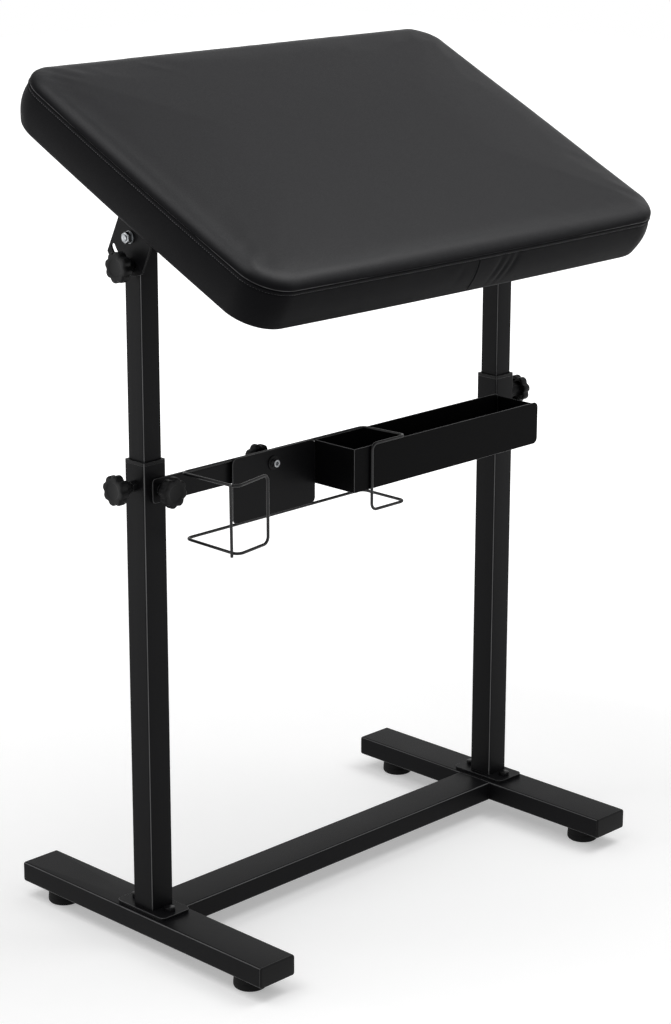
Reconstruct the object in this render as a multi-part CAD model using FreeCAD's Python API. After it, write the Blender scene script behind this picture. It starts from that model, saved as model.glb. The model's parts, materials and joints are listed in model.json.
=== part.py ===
import FreeCAD, Part
import math
import os

# Tattoo arm rest stand, in millimetres.
# An H base carries two telescopic uprights. The padded rest tilts between them,
# and a flat arm on the left upright holds a tray and two bottle cages.
# X runs along the pad, Y to the back and Z up. The origin lies on the floor,
# midway between the uprights and under the middle of the whole stand.

# Clearances shared by the whole stand
running_gap = 0.3
fit_gap = 0.05
touch_gap = 0.1
overrun = 5.0

# Base: two foot bars and a cross tube of one section
post_line = 14.0
bar_width = 60.0
bar_height = 28.0
bar_length = 470.0
bar_wall = 2.0
bar_corner = 3.0
cap_thickness = 2.5
cap_plug_depth = 12.0
cap_corner = 2.0

# Rubber feet pushed into the foot bars
foot_radius = 22.0
foot_height = 22.0
foot_round = 4.0
foot_waist = 1.5
foot_stem_radius = 5.0
foot_stem_length = 9.0
foot_inset = 51.0

# Base plates of the uprights, each held by two hex bolts
plate_width = 50.0
plate_length = 92.0
plate_thickness = 4.5
plate_corner = 8.0
plate_bolt_offset = 32.0

# Eight millimetre bolts, nuts and washers
bolt_radius = 4.0
bolt_hole_gap = 0.3
hex_across = 13.0
hex_head_height = 5.5
hex_nut_height = 6.5
hex_face_share = 0.95
washer_radius = 8.0
washer_thickness = 1.6
base_bolt_overhang = 1.5

# Lower posts with their bushes and welded clamp nuts
lower_post_side = 37.0
lower_post_wall = 1.5
lower_post_corner = 3.0
lower_post_height = 603.5
bush_flange = 4.0
bush_sleeve = 18.0
clamp_drop = 28.0
clamp_nut_height = 8.0

# Upper posts
upper_post_side = 30.0
upper_post_wall = 1.5
upper_post_corner = 2.5
upper_post_length = 558.0
pivot_drop = 13.0
post_cap_thickness = 1.5
post_plug_depth = 7.0
shoe_thickness = 3.0

# Height of the tilt axis as the stand is photographed, and the pad's tilt there
pivot_height = 945.0
pad_tilt = 26.0

# Tilt brackets: an L of sheet with an arc slot round the pivot
bracket_thickness = 3.0
bracket_half_width = 33.0
bracket_offset = 4.5
bracket_arc_radius = 48.0
bracket_rise = 27.0
bracket_flange = 48.0
slot_radius = 35.0
slot_half_width = 4.0
slot_half_angle = 38.0
pad_screw_spacing = 44.0
pad_screw_inset = 6.0
pad_screw_head_radius = 4.5
pad_screw_head_height = 2.8
pad_screw_radius = 2.0
pad_screw_length = 11.0
pad_screw_hole_gap = 0.3

# Star knobs and their steel studs
knob_radius = 20.0
knob_thickness = 12.0
knob_lobes = 8
knob_scallop = 2.2
knob_lobe_share = 0.62
knob_chamfer = 1.4
knob_neck_length = 13.0
knob_neck_tip_radius = 8.5
knob_neck_root_radius = 10.5
knob_rim_wall = 3.0
knob_recess = 7.0
knob_rib_count = 8
knob_rib_width = 1.6
knob_rib_rise = 1.2
knob_rib_start = 2.5
knob_bore_depth = 14.0
height_stud_radius = 4.0
height_thread_gap = 3.5
tilt_stud_radius = 3.0
tilt_nut_across = 10.0
tilt_nut_height = 5.0
tilt_stud_overhang = 1.0

# Padded rest
pad_length = 750.0
pad_overhang = 41.5
pad_depth = 500.0
pad_corner = 50.0
pad_side_height = 56.0
pad_bottom_inset = 4.0
pad_side_bow = 2.0
pad_edge_rise = 14.0
pad_crown = 7.0
board_inset = 12.0
board_thickness = 12.0
board_corner = 34.0
# Level and inset of each side outline, as shares of the side height and bottom inset
pad_side_shares = ((0.0, 1.0), (0.06, 0.5), (0.18, 0.1), (0.5, 0.0), (0.8, 0.1), (0.93, 0.4), (1.0, 0.1))
# Rise and inset of each outline of the rounded top edge, as shares of the edge rise and depth
pad_edge_shares = ((0.0, 0.004), (0.4, 0.011), (0.76, 0.026), (0.95, 0.05), (1.0, 0.08))
# Rise and inset of each outline of the crown, as shares of the crown and depth
pad_crown_shares = ((0.0, 0.08), (0.42, 0.16), (0.75, 0.26), (0.94, 0.37), (1.0, 0.45))
pad_corner_share = 0.8

# Holder arm on the left lower post
arm_thickness = 3.0
arm_height = 32.0
arm_corner = 5.0
arm_hole_inset = 15.0
arm_hole_spacing = 189.0
arm_hole_offset = 8.0
arm_drop = 34.0

# Holder plate, with its socket bolt and rear knob
holder_plate_length = 150.0
holder_plate_height = 87.5
holder_plate_thickness = 2.0
holder_plate_corner = 8.0
holder_bolt_drop = 18.0
holder_bolt_share = 0.484
socket_bolt_radius = 3.0
socket_head_radius = 5.0
socket_head_height = 6.0
socket_across = 5.0
socket_depth = 3.0
plastic_washer_radius = 9.5
insert_radius = 5.0

# Tool tray
tray_length = 369.0
tray_depth = 74.2
tray_height = 59.4
tray_wall = 1.5
tray_corner = 8.0
tray_top_drop = 1.6

# Wire rack: one bent rod with a cage at each end, and a guard rod on the left cage
wire_radius = 2.0
wire_bend = 9.0
wire_rise = 0.5
wire_height = 90.0
cage_left_length = 157.5
cage_left_foot = 151.5
cage_left_reach = 103.2
cage_left_reach_foot = 98.2
cage_left_mouth = 68.0
cage_left_skew = 15.0
cage_left_flare = 2.0
cage_right_length = 172.5
cage_right_mouth = 64.0
guard_reach = 96.4
guard_reach_foot = 91.2
guard_overhang = 4.0

# Places worked out from the sizes above
bar_top = foot_height + bar_height
plate_top = bar_top + plate_thickness
lower_post_top = plate_top + lower_post_height
post_pitch = pad_length - 2 * pad_overhang
clamp_height = lower_post_top - clamp_drop
upper_post_bottom = pivot_height + pivot_drop - upper_post_length
lower_face = lower_post_side / 2
upper_face = upper_post_side / 2
bracket_face = upper_face + bracket_thickness
arm_level = lower_post_top - arm_drop
arm_start = -post_pitch / 2 + arm_hole_offset
bolt_place = arm_start + arm_hole_spacing
arm_front = -lower_face - arm_thickness
wire_line = arm_front - running_gap - wire_radius
plate_back = wire_line - wire_radius
plate_front = plate_back - holder_plate_thickness
spacer_thickness = arm_front - plate_back
plate_left = bolt_place - holder_plate_length * holder_bolt_share
plate_right = plate_left + holder_plate_length
plate_up = arm_level + holder_bolt_drop
plate_low = plate_up - holder_plate_height
tray_front = plate_back - tray_depth
tray_top = plate_up - tray_top_drop
wire_top = plate_up + wire_rise
wire_bottom = wire_top - wire_height
sides = (("left", -1), ("right", 1))
ends = (("front", -1), ("back", 1))
turns = {
    "left": (FreeCAD.Vector(0, 1, 0), -90),
    "right": (FreeCAD.Vector(0, 1, 0), 90),
    "front": (FreeCAD.Vector(1, 0, 0), 90),
    "back": (FreeCAD.Vector(1, 0, 0), -90),
}


def vec(x, y, z):
    return FreeCAD.Vector(x, y, z)


def polar(radius, angle, level=0):
    return vec(radius * math.cos(angle), radius * math.sin(angle), level)


def arc(start, middle, end):
    return Part.Arc(start, middle, end).toShape()


# Turns a piece that is drawn along +Z so that it points to one side, and sets it there
def pointed(shape, side, place):
    axis, angle = turns[side]
    return shape.rotated(vec(0, 0, 0), axis, angle).translated(place)


# Closed outline with round corners in a level plane; a bow rounds its long sides
def outline(half_x, half_y, radius, level=0, bow=0):
    corners = []
    for step, (sign_x, sign_y) in enumerate(((1, 1), (-1, 1), (-1, -1), (1, -1))):
        centre = vec(sign_x * (half_x - radius), sign_y * (half_y - radius), level)
        first = math.pi / 2 * step
        corners.append([centre + polar(radius, first + math.pi / 4 * part) for part in range(3)])
    edges = []
    for step in range(4):
        start, middle, end = corners[step]
        edges.append(arc(start, middle, end))
        following = corners[(step + 1) % 4][0]
        if bow:
            crest = (end + following) * 0.5 + polar(bow, math.pi / 2 * (step + 1))
            edges.append(arc(end, crest, following))
        else:
            edges.append(Part.makeLine(end, following))
    return Part.Wire(edges)


def prism(half_x, half_y, radius, bottom, height):
    return Part.Face(outline(half_x, half_y, radius, bottom)).extrude(vec(0, 0, height))


def tube(width, depth, wall, radius, bottom, height):
    outer = prism(width / 2, depth / 2, radius, bottom, height)
    hollow = prism(width / 2 - wall, depth / 2 - wall, radius - wall, bottom - overrun, height + 2 * overrun)
    return outer.cut(hollow)


def pin(radius, length, x=0, y=0, z=0):
    return Part.makeCylinder(radius, length, vec(x, y, z))


def ring(outer, inner, height):
    return pin(outer, height).cut(pin(inner, height + 2 * overrun, 0, 0, -overrun))


# A cutting rod along X or Y through a point
def hole(radius, side, reach, place):
    return pointed(pin(radius, 2 * reach, 0, 0, -reach), side, place)


def hexagon(across, height):
    corner = across / 2 / math.cos(math.pi / 6)
    points = [polar(corner, math.pi / 3 * step) for step in range(7)]
    return Part.Face(Part.makePolygon(points)).extrude(vec(0, 0, height))


# Hexagon whose corners are turned off on the outer face
def hex_head(across, height):
    top = across / 2 * hex_face_share
    base = top + height / math.tan(math.pi / 6)
    return hexagon(across, height).common(Part.makeCone(base, top, height))


def hex_nut(across, height, bore):
    return hex_head(across, height).cut(pin(bore, height + 2 * overrun, 0, 0, -overrun))


# Star knob drawn along +Z, from the tip of its neck to its flat face
def star_knob(bore_radius):
    pitch = 2 * math.pi / knob_lobes
    join = knob_radius - knob_scallop / 2
    lobe = pitch * knob_lobe_share / 2
    edges = []
    for step in range(knob_lobes):
        middle = pitch * step
        hollow = middle + pitch / 2
        edges.append(arc(polar(join, middle - lobe), polar(knob_radius, middle), polar(join, middle + lobe)))
        after = middle + pitch - lobe
        valley = polar(knob_radius - knob_scallop, hollow)
        edges.append(arc(polar(join, middle + lobe), valley, polar(join, after)))
    star = Part.Face(Part.Wire(edges)).extrude(vec(0, 0, knob_thickness))
    inner = knob_radius - knob_chamfer
    upper = knob_thickness - knob_chamfer
    lower_bevel = Part.makeCone(inner, knob_radius, knob_chamfer)
    upper_bevel = Part.makeCone(knob_radius, inner, knob_chamfer, vec(0, 0, upper))
    barrel = pin(knob_radius, upper - knob_chamfer, 0, 0, knob_chamfer)
    star = star.common(lower_bevel.fuse([barrel, upper_bevel]))
    recess_radius = knob_radius - knob_scallop - knob_rim_wall
    star = star.cut(pin(recess_radius, knob_recess + overrun, 0, 0, -overrun))
    star = star.translated(vec(0, 0, knob_neck_length))
    neck_height = knob_neck_length + knob_recess
    neck = Part.makeCone(knob_neck_tip_radius, knob_neck_root_radius, neck_height)
    rib_reach = knob_neck_root_radius + knob_rib_rise
    rib_height = neck_height - knob_rib_start
    ribs = []
    for step in range(knob_rib_count):
        rib = Part.makeBox(rib_reach, knob_rib_width, rib_height, vec(0, -knob_rib_width / 2, knob_rib_start))
        ribs.append(rib.rotated(vec(0, 0, 0), vec(0, 0, 1), 360 / knob_rib_count * step))
    knob = star.fuse([neck] + ribs)
    return knob.cut(pin(bore_radius, knob_bore_depth + overrun, 0, 0, -overrun)).removeSplitter()


# Stud of a star knob: it fills the blind bore and stands out past the neck
def stud(radius, reach):
    return pin(radius, knob_bore_depth + reach, 0, 0, -reach)


# Turns a pad piece from level to the pad's tilt and lifts it to the pivot
def tilted(shape):
    return shape.rotated(vec(0, 0, 0), vec(1, 0, 0), pad_tilt).translated(vec(0, 0, pivot_height))


# Straight runs through the points of a route, with a bend of one radius at each corner
def rod(points, radius, bend):
    edges = []
    start = points[0]
    for before, corner, after in zip(points, points[1:], points[2:]):
        back = (before - corner).normalize()
        ahead = (after - corner).normalize()
        half = back.getAngle(ahead) / 2
        enter = corner + back * (bend / math.tan(half))
        leave = corner + ahead * (bend / math.tan(half))
        centre = corner + (back + ahead).normalize() * (bend / math.sin(half))
        middle = centre + (corner - centre).normalize() * bend
        edges.append(Part.makeLine(start, enter))
        edges.append(arc(enter, middle, leave))
        start = leave
    edges.append(Part.makeLine(start, points[-1]))
    path = Part.Wire(edges)
    circle = Part.Wire(Part.makeCircle(radius, points[0], points[1] - points[0]))
    return path.makePipeShell([circle], True, False)


def bar_node(sign):
    length = bar_length - 2 * cap_thickness
    bar = tube(bar_width, bar_height, bar_wall, bar_corner, -length / 2, length)
    bar = pointed(bar, "back", vec(sign * post_pitch / 2, 0, foot_height + bar_height / 2))
    for _, end in ends:
        place = end * (bar_length / 2 - foot_inset)
        socket = pin(foot_stem_radius + fit_gap, overrun + bar_wall, sign * post_pitch / 2, place,
                     foot_height - overrun / 2)
        bolt_top = bar_top - bar_wall - overrun / 2
        bore = pin(bolt_radius + bolt_hole_gap, overrun + bar_wall, sign * post_pitch / 2,
                   end * plate_bolt_offset, bolt_top)
        bar = bar.cut(socket).cut(bore)
    return bar


def cap_node():
    half = cap_thickness / 2
    lower = prism(bar_width / 2, bar_height / 2, bar_corner, 0, half)
    slope = Part.makeLoft([
        outline(bar_width / 2, bar_height / 2, bar_corner, half),
        outline(bar_width / 2 - cap_corner, bar_height / 2 - cap_corner, bar_corner, cap_thickness),
    ], True, True)
    wall = bar_wall + touch_gap
    plug = prism(bar_width / 2 - wall, bar_height / 2 - wall, bar_corner - bar_wall, -cap_plug_depth,
                 cap_plug_depth)
    return lower.fuse([slope, plug]).removeSplitter()


def foot_node():
    waist = foot_radius - foot_waist
    profile = [
        Part.makeLine(vec(0, 0, 0), vec(foot_radius - foot_round, 0, 0)),
        arc(vec(foot_radius - foot_round, 0, 0),
            vec(foot_radius - foot_round, 0, foot_round) + polar_side(foot_round, -math.pi / 4),
            vec(foot_radius, 0, foot_round)),
        Part.makeLine(vec(foot_radius, 0, foot_round), vec(waist, 0, foot_height)),
        Part.makeLine(vec(waist, 0, foot_height), vec(foot_stem_radius, 0, foot_height)),
        Part.makeLine(vec(foot_stem_radius, 0, foot_height),
                      vec(foot_stem_radius, 0, foot_height + foot_stem_length)),
        Part.makeLine(vec(foot_stem_radius, 0, foot_height + foot_stem_length),
                      vec(0, 0, foot_height + foot_stem_length)),
        Part.makeLine(vec(0, 0, foot_height + foot_stem_length), vec(0, 0, 0)),
    ]
    return Part.Face(Part.Wire(profile)).revolve(vec(0, 0, 0), vec(0, 0, 1), 360)


# A point of an upright circle in the XZ plane
def polar_side(radius, angle):
    return vec(radius * math.cos(angle), 0, radius * math.sin(angle))


def base_plate_node(sign):
    plate = prism(plate_width / 2, plate_length / 2, plate_corner, bar_top, plate_thickness)
    for _, end in ends:
        reach = plate_thickness + 2 * overrun
        plate = plate.cut(pin(bolt_radius + bolt_hole_gap, reach, 0, end * plate_bolt_offset, bar_top - overrun))
    return plate.translated(vec(sign * post_pitch / 2, 0, 0))


def base_bolt_node():
    bolts = []
    nuts = []
    shank = plate_thickness + bar_wall + hex_nut_height + base_bolt_overhang
    for _, sign in sides:
        for _, end in ends:
            place = vec(sign * post_pitch / 2, end * plate_bolt_offset, plate_top)
            bolt = hex_head(hex_across, hex_head_height).fuse(pin(bolt_radius, shank, 0, 0, -shank))
            bolts.append(bolt.translated(place))
            nut = hex_nut(hex_across, hex_nut_height, bolt_radius + fit_gap)
            drop = plate_thickness + bar_wall + hex_nut_height
            nuts.append(nut.translated(place - vec(0, 0, drop)))
    return Part.makeCompound(bolts), Part.makeCompound(nuts)


def lower_post_node(side, sign):
    centre = vec(sign * post_pitch / 2, 0, 0)
    post = tube(lower_post_side, lower_post_side, lower_post_wall, lower_post_corner, plate_top,
                lower_post_height).translated(centre)
    clamp = vec(sign * (post_pitch / 2 + lower_face), 0, clamp_height)
    post = post.cut(hole(height_stud_radius + fit_gap, side, overrun, clamp))
    if side == "left":
        bore = hole(height_stud_radius + fit_gap, "front", overrun, vec(arm_start, -lower_face, arm_level))
        post = post.cut(bore)
    return post


def bush_node(sign):
    half = upper_face + running_gap
    slide_hole = prism(half, half, upper_post_corner + running_gap, -bush_sleeve - overrun,
                       bush_sleeve + bush_flange + 2 * overrun)
    flange = prism(lower_face, lower_face, lower_post_corner, 0, bush_flange)
    sleeve_half = lower_face - lower_post_wall - touch_gap
    sleeve = prism(sleeve_half, sleeve_half, lower_post_corner - lower_post_wall, -bush_sleeve, bush_sleeve)
    bush = flange.fuse(sleeve).cut(slide_hole).removeSplitter()
    return bush.translated(vec(sign * post_pitch / 2, 0, lower_post_top))


def upper_post_node(side, sign):
    centre = vec(sign * post_pitch / 2, 0, 0)
    post = tube(upper_post_side, upper_post_side, upper_post_wall, upper_post_corner, upper_post_bottom,
                upper_post_length).translated(centre)
    pivot = vec(sign * post_pitch / 2, 0, pivot_height)
    post = post.cut(hole(bolt_radius + fit_gap, side, upper_post_side, pivot))
    tilt = vec(sign * (post_pitch / 2 + upper_face), 0, pivot_height - slot_radius)
    return post.cut(hole(tilt_stud_radius + fit_gap, side, overrun, tilt))


# Cap of the upper post's top, and the shoe that guides its lower end inside the lower post
def post_end_nodes(sign):
    wall = upper_post_wall + touch_gap
    inner = upper_face - wall
    corner = upper_post_corner - upper_post_wall
    plug = prism(inner, inner, corner, -post_plug_depth, post_plug_depth)
    cap = plug.fuse(prism(upper_face, upper_face, upper_post_corner, 0, post_cap_thickness)).removeSplitter()
    shoe_half = lower_face - lower_post_wall - running_gap
    shoe_plug = prism(inner, inner, corner, 0, post_plug_depth)
    shoe = prism(shoe_half, shoe_half, upper_post_corner, -shoe_thickness, shoe_thickness)
    shoe = shoe.fuse(shoe_plug).removeSplitter()
    top = upper_post_bottom + upper_post_length
    cap = cap.translated(vec(sign * post_pitch / 2, 0, top))
    return cap, shoe.translated(vec(sign * post_pitch / 2, 0, upper_post_bottom))


def pivot_nodes():
    bolts = []
    washers = []
    nuts = []
    tilt_nuts = []
    grip = upper_post_side + bracket_thickness + washer_thickness + hex_nut_height + base_bolt_overhang
    for side, sign in sides:
        inward = {"left": "right", "right": "left"}[side]
        inner = vec(sign * (post_pitch / 2 - upper_face), 0, pivot_height)
        head = pointed(hex_head(hex_across, hex_head_height), inward, inner)
        bolts.append(head.fuse(pointed(pin(bolt_radius, grip), side, inner)))
        outer = vec(sign * (post_pitch / 2 + bracket_face), 0, pivot_height)
        washer = ring(washer_radius, bolt_radius + fit_gap, washer_thickness)
        washers.append(pointed(washer, side, outer))
        nut = hex_nut(hex_across, hex_nut_height, bolt_radius + fit_gap)
        nuts.append(pointed(nut, side, outer + vec(sign * washer_thickness, 0, 0)))
        wall = upper_face - upper_post_wall
        inside = vec(sign * (post_pitch / 2 + wall), 0, pivot_height - slot_radius)
        tilt_nuts.append(pointed(hex_nut(tilt_nut_across, tilt_nut_height, tilt_stud_radius + fit_gap),
                                 inward, inside))
    groups = (bolts, washers, nuts, tilt_nuts)
    return [Part.makeCompound(group) for group in groups]


# Bracket drawn in the YZ plane of a level pad, about the pivot
def bracket_node(side, sign):
    front = -bracket_half_width - bracket_offset
    back = bracket_half_width - bracket_offset
    front_foot = -math.sqrt(bracket_arc_radius ** 2 - front ** 2)
    back_foot = -math.sqrt(bracket_arc_radius ** 2 - back ** 2)
    edges = [
        Part.makeLine(vec(0, front, bracket_rise), vec(0, front, front_foot)),
        arc(vec(0, front, front_foot), vec(0, 0, -bracket_arc_radius), vec(0, back, back_foot)),
        Part.makeLine(vec(0, back, back_foot), vec(0, back, bracket_rise)),
        Part.makeLine(vec(0, back, bracket_rise), vec(0, front, bracket_rise)),
    ]
    sheet = Part.Face(Part.Wire(edges)).extrude(vec(sign * bracket_thickness, 0, 0))
    sheet = sheet.translated(vec(sign * (post_pitch / 2 + upper_face), 0, 0))
    flange_start = sign * (post_pitch / 2 + bracket_face)
    flange = Part.makeBox(bracket_flange, 2 * bracket_half_width, bracket_thickness,
                          vec(min(flange_start, flange_start - sign * bracket_flange), front,
                              bracket_rise - bracket_thickness))
    bracket = sheet.fuse(flange)
    bracket = bracket.cut(hole(bolt_radius + fit_gap, side, upper_post_side,
                               vec(sign * post_pitch / 2, 0, 0)))
    bracket = bracket.cut(arc_slot(sign))
    for x, y in screw_places(sign):
        bracket = bracket.cut(pin(pad_screw_radius + pad_screw_hole_gap, bracket_thickness + 2 * overrun, x, y,
                                  bracket_rise - bracket_thickness - overrun))
    return bracket.removeSplitter()


def arc_slot(sign):
    down = -math.pi / 2
    spread = math.radians(slot_half_angle)

    def point(radius, angle):
        return vec(0, radius * math.cos(angle), radius * math.sin(angle))

    outer = slot_radius + slot_half_width
    inner = slot_radius - slot_half_width
    first = down - spread
    last = down + spread
    cap = slot_half_width / slot_radius
    edges = [
        arc(point(outer, first), point(outer, down), point(outer, last)),
        arc(point(outer, last), point(slot_radius, last + cap), point(inner, last)),
        arc(point(inner, last), point(inner, down), point(inner, first)),
        arc(point(inner, first), point(slot_radius, first - cap), point(outer, first)),
    ]
    slot = Part.Face(Part.Wire(edges)).extrude(vec(sign * (bracket_thickness + 2 * overrun), 0, 0))
    return slot.translated(vec(sign * (post_pitch / 2 + upper_face - overrun), 0, 0))


def screw_places(sign):
    x = sign * (post_pitch / 2 + bracket_face - bracket_flange + pad_screw_inset)
    return [(x, end * pad_screw_spacing / 2 - bracket_offset) for _, end in ends]


def pad_screw_node():
    screws = []
    length = pad_screw_length
    under = bracket_rise - bracket_thickness
    for _, sign in sides:
        for x, y in screw_places(sign):
            head = pin(pad_screw_head_radius, pad_screw_head_height, x, y, under - pad_screw_head_height)
            screws.append(head.fuse(pin(pad_screw_radius, length, x, y, under)))
    return Part.makeCompound(screws)


def board_half_sizes():
    inset = pad_bottom_inset + board_inset
    return pad_length / 2 - inset, pad_depth / 2 - inset


def pad_board_node():
    half_x, half_y = board_half_sizes()
    board = prism(half_x, half_y, board_corner, bracket_rise, board_thickness)
    depth = pad_screw_length - bracket_thickness
    for _, sign in sides:
        for x, y in screw_places(sign):
            board = board.cut(pin(pad_screw_radius + fit_gap, depth + overrun, x, y, bracket_rise - overrun))
    return board


# Outlines of the cushion: each is the pad's plan drawn in by an inset
def pad_outline(inset, level):
    half_x = pad_length / 2 - pad_side_bow - inset
    half_y = pad_depth / 2 - pad_side_bow - inset
    radius = min(pad_corner + inset / 2, half_y * pad_corner_share)
    return outline(half_x, half_y, radius, level, pad_side_bow)


def cushion_node():
    seam_level = bracket_rise + pad_side_height
    side_wires = []
    for rise, inset in pad_side_shares:
        side_wires.append(pad_outline(pad_bottom_inset * inset, bracket_rise + pad_side_height * rise))
    edge_wires = []
    for rise, inset in pad_edge_shares:
        edge_wires.append(pad_outline(pad_depth * inset, seam_level + pad_edge_rise * rise))
    crown_wires = []
    for rise, inset in pad_crown_shares:
        level = seam_level + pad_edge_rise + pad_crown * rise
        crown_wires.append(pad_outline(pad_depth * inset, level))
    parts = [Part.makeLoft(wires, True, False) for wires in (side_wires, edge_wires, crown_wires)]
    cushion = parts[0].fuse(parts[1:])
    half_x, half_y = board_half_sizes()
    pocket = prism(half_x + running_gap, half_y + running_gap, board_corner + running_gap,
                   bracket_rise - overrun, board_thickness + overrun + running_gap)
    return cushion.cut(pocket)


def arm_node():
    half_x = arm_hole_spacing / 2 + arm_hole_inset
    arm = prism(half_x, arm_height / 2, arm_corner, 0, arm_thickness)
    middle = arm_start + arm_hole_spacing / 2
    arm = pointed(arm, "front", vec(middle, -lower_face, arm_level))
    arm = arm.cut(hole(height_stud_radius + fit_gap, "front", lower_post_side,
                       vec(arm_start, -lower_face, arm_level)))
    return arm.cut(hole(socket_bolt_radius + fit_gap, "front", lower_post_side,
                        vec(bolt_place, -lower_face, arm_level)))


def holder_plate_node():
    half_x = holder_plate_length / 2
    half_z = holder_plate_height / 2
    plate = prism(half_x, half_z, holder_plate_corner, 0, holder_plate_thickness)
    plate = pointed(plate, "front", vec(plate_left + half_x, plate_back, plate_low + half_z))
    return plate.cut(hole(socket_bolt_radius + bolt_hole_gap, "front", lower_post_side,
                          vec(bolt_place, plate_back, arm_level)))


# Side view of the tray or of its hollow, square on the left and round on the right
def tray_block(left, right, bottom, top, low_corner, high_corner, depth):
    diagonal = math.sqrt(0.5)
    low_centre = vec(right - low_corner, bottom + low_corner, 0)
    edges = [
        Part.makeLine(vec(left, top, 0), vec(left, bottom, 0)),
        Part.makeLine(vec(left, bottom, 0), vec(right - low_corner, bottom, 0)),
        arc(vec(right - low_corner, bottom, 0),
            low_centre + vec(low_corner * diagonal, -low_corner * diagonal, 0),
            vec(right, bottom + low_corner, 0)),
    ]
    if high_corner:
        high_centre = vec(right - high_corner, top - high_corner, 0)
        edges.append(Part.makeLine(vec(right, bottom + low_corner, 0), vec(right, top - high_corner, 0)))
        edges.append(arc(vec(right, top - high_corner, 0),
                         high_centre + vec(high_corner * diagonal, high_corner * diagonal, 0),
                         vec(right - high_corner, top, 0)))
        edges.append(Part.makeLine(vec(right - high_corner, top, 0), vec(left, top, 0)))
    else:
        edges.append(Part.makeLine(vec(right, bottom + low_corner, 0), vec(right, top, 0)))
        edges.append(Part.makeLine(vec(right, top, 0), vec(left, top, 0)))
    return Part.Face(Part.Wire(edges)).extrude(vec(0, 0, depth))


def tray_node():
    right = plate_right + tray_length
    bottom = tray_top - tray_height
    wall = tray_wall
    outer = tray_block(plate_right, right, bottom, tray_top, tray_corner, tray_corner, tray_depth)
    hollow = tray_block(plate_right + wall, right - wall, bottom + wall, tray_top + overrun,
                        tray_corner - wall, 0, tray_depth - 2 * wall)
    tray = outer.cut(hollow.translated(vec(0, 0, wall)))
    return pointed(tray, "front", vec(0, plate_back, 0))


def wire_rack_nodes():
    left_top = bolt_place - cage_left_length
    left_foot = bolt_place - cage_left_foot
    left_mouth = left_top - cage_left_flare + cage_left_mouth
    left_front = wire_line - cage_left_reach
    left_front_foot = wire_line - cage_left_reach_foot
    mouth_line = left_front + cage_left_skew
    right = bolt_place + cage_right_length
    right_front = tray_front - wire_radius - touch_gap
    right_mouth = right - cage_right_mouth
    left_route = [
        vec(bolt_place, wire_line, wire_top),
        vec(left_top, wire_line, wire_top),
        vec(left_top - cage_left_flare, left_front, wire_top),
        vec(left_mouth, mouth_line, wire_top),
        vec(left_mouth, mouth_line, wire_bottom),
        vec(left_foot - cage_left_flare, left_front_foot, wire_bottom),
        vec(left_foot, wire_line, wire_bottom),
        vec(bolt_place, wire_line, wire_bottom),
    ]
    right_route = [
        vec(bolt_place, wire_line, wire_top),
        vec(right, wire_line, wire_top),
        vec(right, right_front, wire_top),
        vec(right_mouth, right_front, wire_top),
        vec(right_mouth, right_front, wire_bottom),
        vec(right, right_front, wire_bottom),
        vec(right, wire_line, wire_bottom),
        vec(bolt_place, wire_line, wire_bottom),
    ]
    left_cage = rod(left_route, wire_radius, wire_bend)
    rack = left_cage.fuse(rod(right_route, wire_radius, wire_bend)).removeSplitter()
    aside = 2 * wire_radius + touch_gap
    lean_top = cage_left_flare * guard_reach / cage_left_reach
    lean_foot = cage_left_flare * guard_reach_foot / cage_left_reach_foot
    top = vec(left_top - lean_top - aside, wire_line - guard_reach, wire_top)
    foot = vec(left_foot - lean_foot - aside, wire_line - guard_reach_foot, wire_bottom)
    slope = (top - foot).normalize()
    low = foot - slope * guard_overhang
    length = (top - foot).Length + guard_overhang + wire_radius
    guard = Part.makeCylinder(wire_radius, length, low, slope)
    return rack, guard


def holder_bolt_nodes():
    place = vec(bolt_place, plate_front, arm_level)
    head = pin(socket_head_radius, socket_head_height).cut(
        hexagon(socket_across, socket_depth).translated(vec(0, 0, socket_head_height - socket_depth)))
    stack = washer_thickness + holder_plate_thickness + spacer_thickness + arm_thickness + washer_thickness
    shank = pin(socket_bolt_radius, stack + knob_bore_depth, 0, 0, -stack - knob_bore_depth)
    bolt = pointed(head.fuse(shank), "front", place - vec(0, washer_thickness, 0))
    bore = socket_bolt_radius + fit_gap
    front = pointed(ring(plastic_washer_radius, bore, washer_thickness), "front", place)
    spacer_place = vec(bolt_place, arm_front, arm_level)
    spacer = pointed(ring(plastic_washer_radius, bore, spacer_thickness), "front", spacer_place)
    back = pointed(ring(plastic_washer_radius, bore, washer_thickness), "back",
                   vec(bolt_place, -lower_face, arm_level))
    return bolt, front, spacer, back


def save(name, shape):
    placed = shape.translated(vec(0, post_line, 0))
    placed.exportStep("parts/" + name + ".step")
    print(name, len(placed.Solids), round(placed.Volume), placed.isValid())


os.makedirs("parts", exist_ok=True)

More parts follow.
